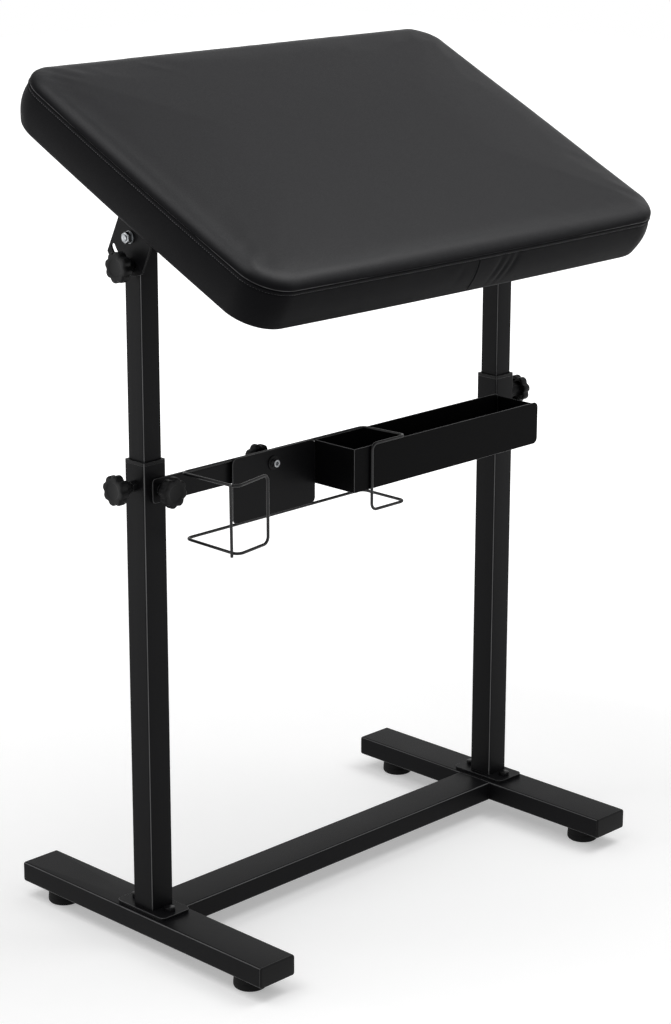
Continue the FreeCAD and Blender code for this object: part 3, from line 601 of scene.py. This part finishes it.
def footMesh(name):
    f = rubberFoot
    top = f["height"]
    side = f["radius"]
    tip = top + f["pinRise"]
    # radius and height, from the middle of the hollow tread up to the tip of the pin
    profile = [(0.0004, f["hollow"]), (side - 0.0075, f["hollow"]), (side - 0.0062, 0.0004),
               (side - 0.0048, 0.0)]
    for step in range(7):
        angle = math.pi / 12 * step
        profile.append((side - f["roll"] * (1 - math.sin(angle)), f["roll"] * (1 - math.cos(angle))))
    profile += [
        (side - 0.0001, 0.0085), (side - 0.0002, 0.0092), (side - 0.0002 - f["groove"], 0.0098),
        (side - 0.0003 - f["groove"], 0.0106), (side - 0.0004, 0.0112), (side - 0.0007, 0.0165),
        (side - 0.0010, top - 0.0032), (side - 0.0011, top - 0.0012), (side - 0.0016, top - 0.0003),
        (side - 0.0024, top), (f["pin"], top), (f["pin"], tip - 0.002), (f["pin"] - 0.0008, tip - 0.0002),
        (0.0004, tip),
    ]
    bm = bmesh.new()
    skinOver(bm, [ringOf(bm, radius, height, 72) for radius, height in profile], True)
    return finished(name, bm, 40)


for node in nodes:
    if node.startswith("rubber_foot"):
        low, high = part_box(node)
        mesh = footMesh(node + "_moulding")
        mesh.transform(Matrix.Translation(((low.x + high.x) / 2, (low.y + high.y) / 2, low.z)))
        present(node + "_moulding", mesh, bodyOf[node], slotOf[node], node)
print("rubber feet moulded")


# Round wire swept along straight runs with bent corners
def wireMesh(name, points, radius, bend, closed, around=16, stepsPerBend=9):
    route = []
    count = len(points)
    for index, corner in enumerate(points):
        if not closed and index in (0, count - 1):
            route.append(corner)
            continue
        back = (points[index - 1] - corner).normalized()
        ahead = (points[(index + 1) % count] - corner).normalized()
        half = back.angle(ahead) / 2
        if half > math.radians(89):
            route.append(corner)
            continue
        centre = corner + (back + ahead).normalized() * (bend / math.sin(half))
        enter = corner + back * (bend / math.tan(half)) - centre
        leave = corner + ahead * (bend / math.tan(half)) - centre
        sweep = enter.angle(leave)
        axis = enter.cross(leave).normalized()
        for step in range(stepsPerBend + 1):
            route.append(centre + Matrix.Rotation(sweep * step / stepsPerBend, 3, axis) @ enter)
    bm = bmesh.new()
    side = Vector((0.3, 0.2, 1)).normalized()
    rings = []
    total = len(route)
    for index, point in enumerate(route):
        before = route[index - 1] if closed or index else point
        after = route[(index + 1) % total] if closed or index < total - 1 else point
        along = (after - before).normalized()
        side = (side - along * side.dot(along)).normalized()
        other = along.cross(side)
        rings.append([bm.verts.new(point + radius * (side * math.cos(2 * math.pi * part / around)
                                                     + other * math.sin(2 * math.pi * part / around)))
                      for part in range(around)])
    if closed:
        # the last ring may have turned about the wire against the first one
        last, first = rings[-1], rings[0]
        shift = min(range(around), key=lambda s: (last[0].co - first[s].co).length)
        rings.append(first[shift:] + first[:shift])
    skinOver(bm, rings, not closed)
    return finished(name, bm, 50)


# Bent wire rack behind the holder plate: the left cage stands a little askew, the right one goes round
# the tray. backDrop lowers the back run below the front ones
rack = {
    "radius": 0.002, "bend": 0.009, "leftTop": 0.1575, "leftFoot": 0.1515, "reach": 0.1032,
    "reachFoot": 0.0982, "mouth": 0.068, "skew": 0.015, "flare": 0.002, "right": 0.1725,
    "rightMouth": 0.064, "clear": 0.0001, "backDrop": 0.0023, "rodInset": 0.0002,
}
boltLow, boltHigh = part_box("holder_spacer")
boltX = (boltLow.x + boltHigh.x) / 2
rackLow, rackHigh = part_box("wire_rack")
plateLow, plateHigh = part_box("holder_plate")
trayLow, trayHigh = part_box("tool_tray")
wireLine = plateHigh.y + rack["radius"]
wireTop = rackHigh.z - rack["radius"]
wireBack = wireTop - rack["backDrop"]
wireFoot = rackLow.z + rack["radius"]


def rackRoute():
    leftTop = boltX - rack["leftTop"]
    leftFoot = boltX - rack["leftFoot"]
    mouth = leftTop - rack["flare"] + rack["mouth"]
    front = wireLine - rack["reach"]
    mouthLine = front + rack["skew"]
    right = boltX + rack["right"]
    rightFront = trayLow.y - rack["radius"] - rack["clear"]
    rightMouth = right - rack["rightMouth"]
    spots = [
        (leftTop, wireLine, wireBack), (leftTop - rack["flare"], front, wireTop),
        (mouth, mouthLine, wireTop), (mouth, mouthLine, wireFoot),
        (leftFoot - rack["flare"], wireLine - rack["reachFoot"], wireFoot), (leftFoot, wireLine, wireFoot),
        (right, wireLine, wireFoot), (right, rightFront, wireFoot),
        (rightMouth, rightFront, wireFoot), (rightMouth, rightFront, wireTop), (right, rightFront, wireTop),
        (right, wireLine, wireBack),
    ]
    return [Vector(spot) for spot in spots]


# The guard rod leans from corner to corner of its CAD box
def guardRoute():
    low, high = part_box("guard_rod")
    inset = Vector((rack["radius"], rack["radius"], -rack["rodInset"]))
    return [Vector((high.x, high.y, low.z)) - inset, Vector((low.x, low.y, high.z)) + inset]


for name, route, closed, node in (("wire_rack_bent", rackRoute(), True, "wire_rack"),
                                  ("guard_rod_cut", guardRoute(), False, "guard_rod")):
    mesh = wireMesh(name, route, rack["radius"], rack["bend"], closed)
    present(name, mesh, "holder", "black_wire", node)
print("wire rack bent")


# Padded rest, drawn level about its pivot: x along the pad, y across it, z up from the pivot
pad = {
    "length": 0.750, "depth": 0.500, "corner": 0.050, "cornerGrowth": 0.25, "under": 0.027, "side": 0.056,
    "edgeRise": 0.014, "edgeIn": 0.021, "crown": 0.007, "crownReach": 0.2, "bottomIn": 0.0022,
    "bottomRound": 0.009, "bulge": 0.0018, "bow": 0.002, "wrap": 0.021, "sag": 0.0032,
    "tilt": math.radians(26), "cell": 0.005, "rows": 100,
    # swelling of the skin: pressure and stiffness of the cloth, and how much of its shift is kept
    "pressure": 4.0, "frames": 20, "stretch": 15, "bending": 1.5, "quality": 5, "give": 0.22, "cap": 0.0011,
    # painted shade and sheen of the skin: painted shade below the seam, ring by ring over the roll a dark painted
    # band rising to a painted sheen, and on the top beyond it a paler painted tone with a painted sheen near the
    # roll
    "sidePaintedShade": 0.13, "rollShadeAndSheen": (0.16, 0.40, 0.66, 0.83, 0.90, 0.88, 0.82), "rollStep": 10,
    "topPaintedTone": 0.71, "topPaintedSheen": 0.09, "sheenReach": 0.012,
    # profile over the seam from the stitched channel up: inset and rise
    "seam": ((0.0012, -0.0048), (0.0001, -0.0036), (-0.0004, -0.0018), (0.0, -0.0008), (0.0016, 0.0),
             (0.0006, 0.0007), (0.0002, 0.0014)),
    "seamInset": 0.0006, "pucker": 0.0005, "puckerReach": 0.009, "flatBySeam": 0.004,
    # columns close to the sewn join in the middle of the front, and how far each is drawn in there
    "joinColumns": {-0.0034: 0.0, -0.0016: -0.25, -0.0007: 0.4, 0.0: 1.0, 0.0007: 0.4, 0.0016: -0.25,
                    0.0034: 0.0},
    "joinDraw": 0.0013, "joinClear": 0.0045,
    # soft slanting folds beside the join: place along the pad, middle height, half length, width, depth
    "folds": ((0.040, 0.060, 0.018, 0.0042, 0.0011), (0.054, 0.056, 0.018, 0.0036, 0.0014),
              (0.070, 0.062, 0.020, 0.0045, 0.0012), (-0.030, 0.060, 0.014, 0.0050, 0.0005)),
    "foldLean": 0.35, "foldsFrom": 0.03, "foldCells": 10, "frontFrom": -0.2,
}
padPlace = Matrix.Translation(joints["pad_tilt"]["pos_m"]) @ Matrix.Rotation(pad["tilt"], 4, "X")
seamLevel = pad["under"] + pad["side"]


# Shares of the pad's length where a column stands: even cells, finer at the folds and the join
def frontShares():
    count = round(pad["length"] / pad["cell"])
    spots = [pad["length"] * (step / count - 0.5) for step in range(1, count)]
    spots += [pad["foldsFrom"] + pad["cell"] * (step + 0.5) for step in range(pad["foldCells"])]
    spots = [spot for spot in spots if abs(spot) > pad["joinClear"]] + list(pad["joinColumns"])
    return [0.0] + sorted(spot / pad["length"] + 0.5 for spot in spots) + [1.0]


sharesX = frontShares()
sharesY = [step / pad["rows"] for step in range(pad["rows"] + 1)]
countX = len(sharesX) - 1
countY = len(sharesY) - 1
around = 2 * (countX + countY)
frontStart = 2 * countY + countX


def onArc(radius, angle):
    return radius * Vector((math.cos(angle), math.sin(angle), 0))


# Plan of the pad at one inset, from corner middle to corner middle: right, back, left and front side
def padPlan(inset):
    halfX = pad["length"] / 2 - inset
    halfY = pad["depth"] / 2 - inset
    radius = pad["corner"] + inset * pad["cornerGrowth"]
    backShares = [1 - share for share in reversed(sharesX)]
    plan = []
    for side, shares in enumerate((sharesY, backShares, sharesY, sharesX)):
        turn = Matrix.Rotation(math.pi / 2 * side, 3, "Z")
        reach, run = (halfX, halfY) if side % 2 == 0 else (halfY, halfX)
        bend = radius * math.pi / 4
        straight = 2 * (run - radius)
        for share in shares[:-1]:
            way = share * (straight + 2 * bend)
            if way < bend:
                angle = way / radius - math.pi / 4
                point = Vector((reach - radius, radius - run, 0)) + onArc(radius, angle)
            elif way < bend + straight:
                along = (way - bend) / straight
                bow = pad["bow"] * 4 * along * (1 - along)
                point = Vector((reach + bow, radius - run + along * straight, 0))
            else:
                angle = (way - bend - straight) / radius
                point = Vector((reach - radius, run - radius, 0)) + onArc(radius, angle)
            plan.append(turn @ point)
    return plan


# How far a point of the plan lies inside the pad's outline
def padDepth(x, y):
    radius = pad["corner"]
    qx = abs(x) - (pad["length"] / 2 - radius)
    qy = abs(y) - (pad["depth"] / 2 - radius)
    outside = math.hypot(max(qx, 0), max(qy, 0))
    return radius - outside - min(max(qx, qy), 0)


def padRise(x, y):
    depth = max(0.0, padDepth(x, y))
    edge = 1 - min(1, depth / pad["edgeIn"])
    inner = math.sin(math.pi / 2 * min(1, depth / pad["crownReach"]))
    return pad["edgeRise"] * math.sqrt(1 - edge * edge) + pad["crown"] * inner ** 1.3


# Rings from the wrap under the board up to the seam: inset, level, how firmly the sewing holds them
def padRings():
    under = pad["under"]
    hang = under - pad["sag"]
    rings = [(pad["wrap"], under + 0.003, 1.0), (pad["wrap"] - 0.0003, under - 0.0005, 1.0),
             (pad["wrap"] - 0.0012, under - 0.0009, 1.0), (pad["wrap"] - 0.005, hang + 0.0007, 1.0)]
    for step in range(6):
        angle = math.pi / 10 * step
        rings.append((pad["bottomIn"] + pad["bottomRound"] * (1 - math.sin(angle)),
                      hang + pad["bottomRound"] * (1 - math.cos(angle)), 1.0 - 0.16 * step))
    low = hang + pad["bottomRound"]
    high = seamLevel - 0.0085
    for step in range(1, 8):
        share = step / 8
        rings.append((pad["bottomIn"] * (1 - share) ** 1.5 - pad["bulge"] * math.sin(math.pi * share),
                      low + (high - low) * share, 0.0))
    rings += [(pad["seamInset"] / 2, high, 0.1), (pad["seamInset"], seamLevel - 0.0058, 0.6)]
    return rings + [(pad["seamInset"] + inset, seamLevel + rise, 1.0) for inset, rise in pad["seam"]]


def padMesh(name):
    rings = padRings()
    vertices = []
    holds = []
    rows = []
    faces = []
    edgeFaces = []
    paintedTones = []
    # rings up to the seam carry the painted shade tone of the side
    for inset, level, hold in rings:
        rows.append(len(vertices))
        for point in padPlan(inset):
            vertices.append((point.x, point.y, level))
            holds.append(hold)
            paintedTones.append(pad["sidePaintedShade"])
    # rings over the roll carry the painted dark band, then the painted sheen
    for step, paintedTone in enumerate(pad["rollShadeAndSheen"], start=2):
        angle = math.radians(pad["rollStep"] * step)
        rows.append(len(vertices))
        for point in padPlan(pad["edgeIn"] * (1 - math.cos(angle))):
            vertices.append((point.x, point.y, seamLevel + padRise(point.x, point.y)))
            holds.append(0.0)
            paintedTones.append(paintedTone)
    for row, (first, second) in enumerate(zip(rows, rows[1:])):
        for step in range(around):
            after = (step + 1) % around
            if row == len(rings) - 2:
                edgeFaces.append(len(faces))
            faces.append((first + step, first + after, second + after, second + step))

    # A grid stretched between the four sides of a ring
    def filled(rim, levelAt, hold, flip):
        def rimIndex(s, t):
            if s == countX:
                return rim + t
            if t == countY:
                return rim + countY + countX - s
            if s == 0:
                return rim + countY + countX + countY - t
            return rim + frontStart + s

        def rimPoint(s, t):
            return Vector(vertices[rimIndex(s, t)])

        grid = {}
        for s in range(countX + 1):
            for t in range(countY + 1):
                if s in (0, countX) or t in (0, countY):
                    grid[s, t] = rimIndex(s, t)
                    continue
                u = sharesX[s]
                v = sharesY[t]
                flat = (rimPoint(0, t) * (1 - u) + rimPoint(countX, t) * u
                        + rimPoint(s, 0) * (1 - v) + rimPoint(s, countY) * v
                        - (rimPoint(0, 0) * (1 - u) + rimPoint(countX, 0) * u) * (1 - v)
                        - (rimPoint(0, countY) * (1 - u) + rimPoint(countX, countY) * u) * v)
                grid[s, t] = len(vertices)
                vertices.append((flat.x, flat.y, levelAt(flat.x, flat.y)))
                holds.append(hold)
                # painted top tone, with a painted sheen fading inward from the roll
                beyond = max(0.0, padDepth(flat.x, flat.y) - pad["edgeIn"])
                paintedTones.append(pad["topPaintedTone"] + pad["topPaintedSheen"] * math.exp(-(beyond / pad["sheenReach"]) ** 2))
        for s in range(countX):
            for t in range(countY):
                face = (grid[s, t], grid[s + 1, t], grid[s + 1, t + 1], grid[s, t + 1])
                faces.append(tuple(reversed(face)) if flip else face)

    filled(rows[-1], lambda x, y: seamLevel + padRise(x, y), 0.0, False)
    filled(0, lambda x, y: rings[0][1], 1.0, True)
    mesh = bpy.data.meshes.new(name)
    mesh.from_pydata(vertices, [], faces)
    return mesh, holds, rows, edgeFaces, paintedTones


# Air pressure swells the skin between its sewn lines. A share of the shift is kept, up to the cap
def inflate(piece, holds):
    group = piece.vertex_groups.new(name="sewn")
    for index, hold in enumerate(holds):
        if hold:
            group.add([index], hold, "REPLACE")
    before = [vertex.co.copy() for vertex in piece.data.vertices]
    cloth = piece.modifiers.new("vinylSkin", "CLOTH")
    cloth.settings.effector_weights.gravity = 0
    cloth.settings.use_pressure = True
    cloth.settings.uniform_pressure_force = pad["pressure"]
    cloth.settings.vertex_group_mass = "sewn"
    cloth.settings.tension_stiffness = pad["stretch"]
    cloth.settings.compression_stiffness = pad["stretch"]
    cloth.settings.bending_stiffness = pad["bending"]
    cloth.settings.quality = pad["quality"]
    cloth.point_cache.frame_start = 1
    cloth.point_cache.frame_end = pad["frames"]
    scene = bpy.context.scene
    for step in range(1, pad["frames"] + 1):
        scene.frame_set(step)
    swollen = piece.evaluated_get(bpy.context.evaluated_depsgraph_get())
    moved = [vertex.co.copy() for vertex in swollen.data.vertices]
    piece.modifiers.remove(cloth)
    scene.frame_set(1)
    for vertex, old, new in zip(piece.data.vertices, before, moved):
        shift = (new - old) * pad["give"]
        shift *= pad["cap"] / max(pad["cap"], shift.length)
        vertex.co = old + shift
    swell = sum((new - old).length for old, new in zip(before, moved)) / len(before)
    print("cushion swelled freely by mm, mean:", round(1000 * swell, 2))


# Sewing draws the skin in: puckers beside the seam, the upright join and the soft folds beside it
def sew(mesh, rows):
    normals = [vertex.normal.copy() for vertex in mesh.vertices]
    pulls = list(pad["joinColumns"].values())
    joinStart = frontStart + sharesX.index(0.5) - len(pulls) // 2
    for first in rows:
        for step in range(around):
            vertex = mesh.vertices[first + step]
            x, y, z = vertex.co
            away = abs(z - seamLevel)
            fade = math.exp(-(away / pad["puckerReach"]) ** 2) * min(1, away / pad["flatBySeam"])
            coarse = noise(Vector((x * 70, y * 70, z * 30)))
            fine = noise(Vector((x * 170, y * 170, 3)))
            shift = fade * pad["pucker"] * (coarse + 0.6 * fine)
            if pad["under"] + pad["flatBySeam"] < z < seamLevel - pad["flatBySeam"]:
                column = step - joinStart
                if 0 <= column < len(pulls):
                    shift -= pad["joinDraw"] * pulls[column]
                if y < pad["frontFrom"]:
                    for place, height, half, width, depth in pad["folds"]:
                        sideways = (x - place - (z - height) * pad["foldLean"]) / width
                        shift -= depth * math.exp(-sideways ** 2 - ((z - height) / half) ** 2)
            vertex.co += normals[first + step] * shift
    mesh.update()


# Lock stitches laid in the channel under the seam
stitch = {"pitch": 0.0038, "length": 0.0027, "radius": 0.00044, "slant": 0.0004, "sides": 6}


def stitchMesh(name, mesh, first):
    line = [mesh.vertices[first + step].co.copy() for step in range(around)]
    outward = [mesh.vertices[first + step].normal.copy() for step in range(around)]
    lengths = [(line[(step + 1) % around] - line[step]).length for step in range(around)]
    total = sum(lengths)
    count = round(total / stitch["pitch"])
    # place along the stitch, thickness and lift, as shares of its length and radius
    profile = ((-0.5, 0.25, -0.6), (-0.42, 0.8, 0.0), (-0.2, 1.0, 0.7), (0.2, 1.0, 0.7), (0.42, 0.8, 0.0),
               (0.5, 0.25, -0.6))
    bm = bmesh.new()
    step = 0
    passed = 0.0
    for number in range(count):
        way = total * number / count
        while step < around - 1 and passed + lengths[step] < way:
            passed += lengths[step]
            step += 1
        ahead = (line[(step + 1) % around] - line[step]).normalized()
        middle = line[step] + ahead * (way - passed)
        out = outward[step]
        across = ahead.cross(out).normalized()
        rings = []
        for along, thick, lift in profile:
            spine = (middle + ahead * along * stitch["length"] + out * lift * stitch["radius"]
                     + across * along * stitch["slant"])
            ring = []
            for part in range(stitch["sides"]):
                angle = 2 * math.pi * part / stitch["sides"]
                away = out * math.cos(angle) + across * math.sin(angle)
                ring.append(bm.verts.new(spine + stitch["radius"] * thick * away))
            rings.append(ring)
        skinOver(bm, rings, True)
    print("stitches laid:", count)
    return finished(name, bm, 60)


padSkin, padHolds, padRows, padEdgeFaces, padPaintedTones = padMesh("pad_cushion_sewn")
cushion = bpy.data.objects.new("pad_cushion_sewn", padSkin)
bpy.context.scene.collection.objects.link(cushion)
inflate(cushion, padHolds)
sew(padSkin, padRows)
channelRow = padRows[len(padRings()) - len(pad["seam"])]
stitches = stitchMesh("pad_stitches", padSkin, channelRow)
padSkin.transform(padPlace)
stitches.transform(padPlace)
padSkin.materials.append(paints["black_vinyl"])
padSkin.materials.append(seamHighlightPaint())
# the painted shade and sheen tones go on the mesh for the vinyl paint
paintedTones = padSkin.attributes.new("skinTone", "FLOAT", "POINT")
for index, paintedTone in enumerate(padPaintedTones):
    paintedTones.data[index].value = paintedTone
# the lip row of the seam takes the paler seam paint, a painted highlight line
for index in padEdgeFaces:
    padSkin.polygons[index].material_index = 1
padSkin.shade_smooth()
soften = cushion.modifiers.new("roundedSkin", "SUBSURF")
soften.levels = 1
soften.render_levels = 1
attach(cushion, "padded_rest")
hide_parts("pad_cushion")
stitches.materials.append(threadPaint())
present("pad_stitches", stitches, "padded_rest", "black_vinyl")
print("cushion sewn")


# Plain pale floor that keeps the stand's shadow and turns white beyond it, under soft lamps
studio = {"floor": 9.0, "sky": 0.4, "ceiling": 0.22, "lift": 0.34}
lamps = {
    "side_softbox": {"place": (1.1, -0.7, 3.3), "target": (0, 0, 0.75), "size": 2.0, "power": 40.0},
    "top_softbox": {"place": (-1.2, 0.3, 3.2), "target": (0, 0, 0.6), "size": 2.2, "power": 34.0},
    "edge_lamp": {"place": (-2.6, 2.0, 0.9), "target": (0, 0, 0.6), "size": 1.2, "power": 9.0},
}
floorMesh = bpy.data.meshes.new("floor")
half = studio["floor"]
floorMesh.from_pydata([(-half, -half, 0), (half, -half, 0), (half, half, 0), (-half, half, 0)], [],
                      [(0, 1, 2, 3)])
floor = bpy.data.objects.new("floor", floorMesh)
bpy.context.scene.collection.objects.link(floor)


def floorPaint():
    paint = Paint("studio_floor", Roughness=0.9, Specular_IOR_Level=0.0, Emission_Strength=1.0)
    grain = paint.noise(30, 3)
    away = paint.add("VectorMath", {"operation": "LENGTH"}, {0: paint.stretched(1, 1, 0)}, output="Value")
    far = paint.ramp(away * 0.2, (0.16, 0), (0.5, 1))
    lift = (far * (1 - studio["lift"]) + studio["lift"]) * paint.backgroundRays()
    return paint.show(Base_Color=paint.tint(grain, (0.8, 0.8, 0.8), (0.83, 0.83, 0.83)),
                      Emission_Color=paint.tint(lift, (0, 0, 0), (1, 1, 1)))


floorMesh.materials.append(floorPaint())


# The world is plain light, white where the background shows, with a dimmer ceiling for the mirrored rays
def paintWorld():
    world = bpy.data.worlds.new("studio")
    bpy.context.scene.world = world
    world.use_nodes = True
    world.node_tree.nodes.clear()
    sky = Shading(world.node_tree)
    seen = sky.backgroundRays()
    camera = sky.add("LightPath", output="Is Camera Ray")
    height = sky.add("SeparateXYZ", {}, {"Vector": sky.add("TexCoord", output="Generated")}, output="Z")
    wall = sky.ramp(height, (0.3, 1), (0.85, studio["ceiling"]))
    level = sky.add("Math", {"operation": "MAXIMUM"}, {0: wall, 1: camera})
    plain = sky.add("Background", {}, {"Color": (1, 1, 1, 1), "Strength": studio["sky"]})
    white = sky.add("Background", {}, {"Color": (1, 1, 1, 1), "Strength": level})
    mixed = sky.add("MixShader", {}, {0: seen, 1: plain, 2: white})
    sky.add("OutputWorld", {}, {"Surface": mixed}, output=None)


def lamp(name, place, target, size, power):
    data = bpy.data.lights.new(name, "AREA")
    data.size = size
    data.energy = power
    light = bpy.data.objects.new(name, data)
    bpy.context.scene.collection.objects.link(light)
    light.location = place
    light.rotation_euler = (Vector(target) - Vector(place)).to_track_quat("-Z", "Y").to_euler()


paintWorld()
for name, setting in lamps.items():
    lamp(name, **setting)

# Camera solved from the stand's straight edges in the photograph
view = {"place": (-2.43249, -2.37989, 1.5185), "turn": -45.55, "dip": 16.26, "roll": 0.11,
        "lens": 92.14, "sensor": 36}
cameraData = bpy.data.cameras.new("camera")
cameraData.sensor_fit = "AUTO"
cameraData.sensor_width = view["sensor"]
cameraData.lens = view["lens"]
cameraData.clip_end = 30
camera = bpy.data.objects.new("camera", cameraData)
bpy.context.scene.collection.objects.link(camera)
aim = (Matrix.Rotation(math.radians(view["turn"]), 4, "Z")
       @ Matrix.Rotation(math.radians(90 - view["dip"]), 4, "X")
       @ Matrix.Rotation(math.radians(view["roll"]), 4, "Z"))
camera.matrix_world = Matrix.Translation(view["place"]) @ aim
bpy.context.scene.camera = camera
bpy.context.scene.view_settings.view_transform = "Standard"
print("studio lit")
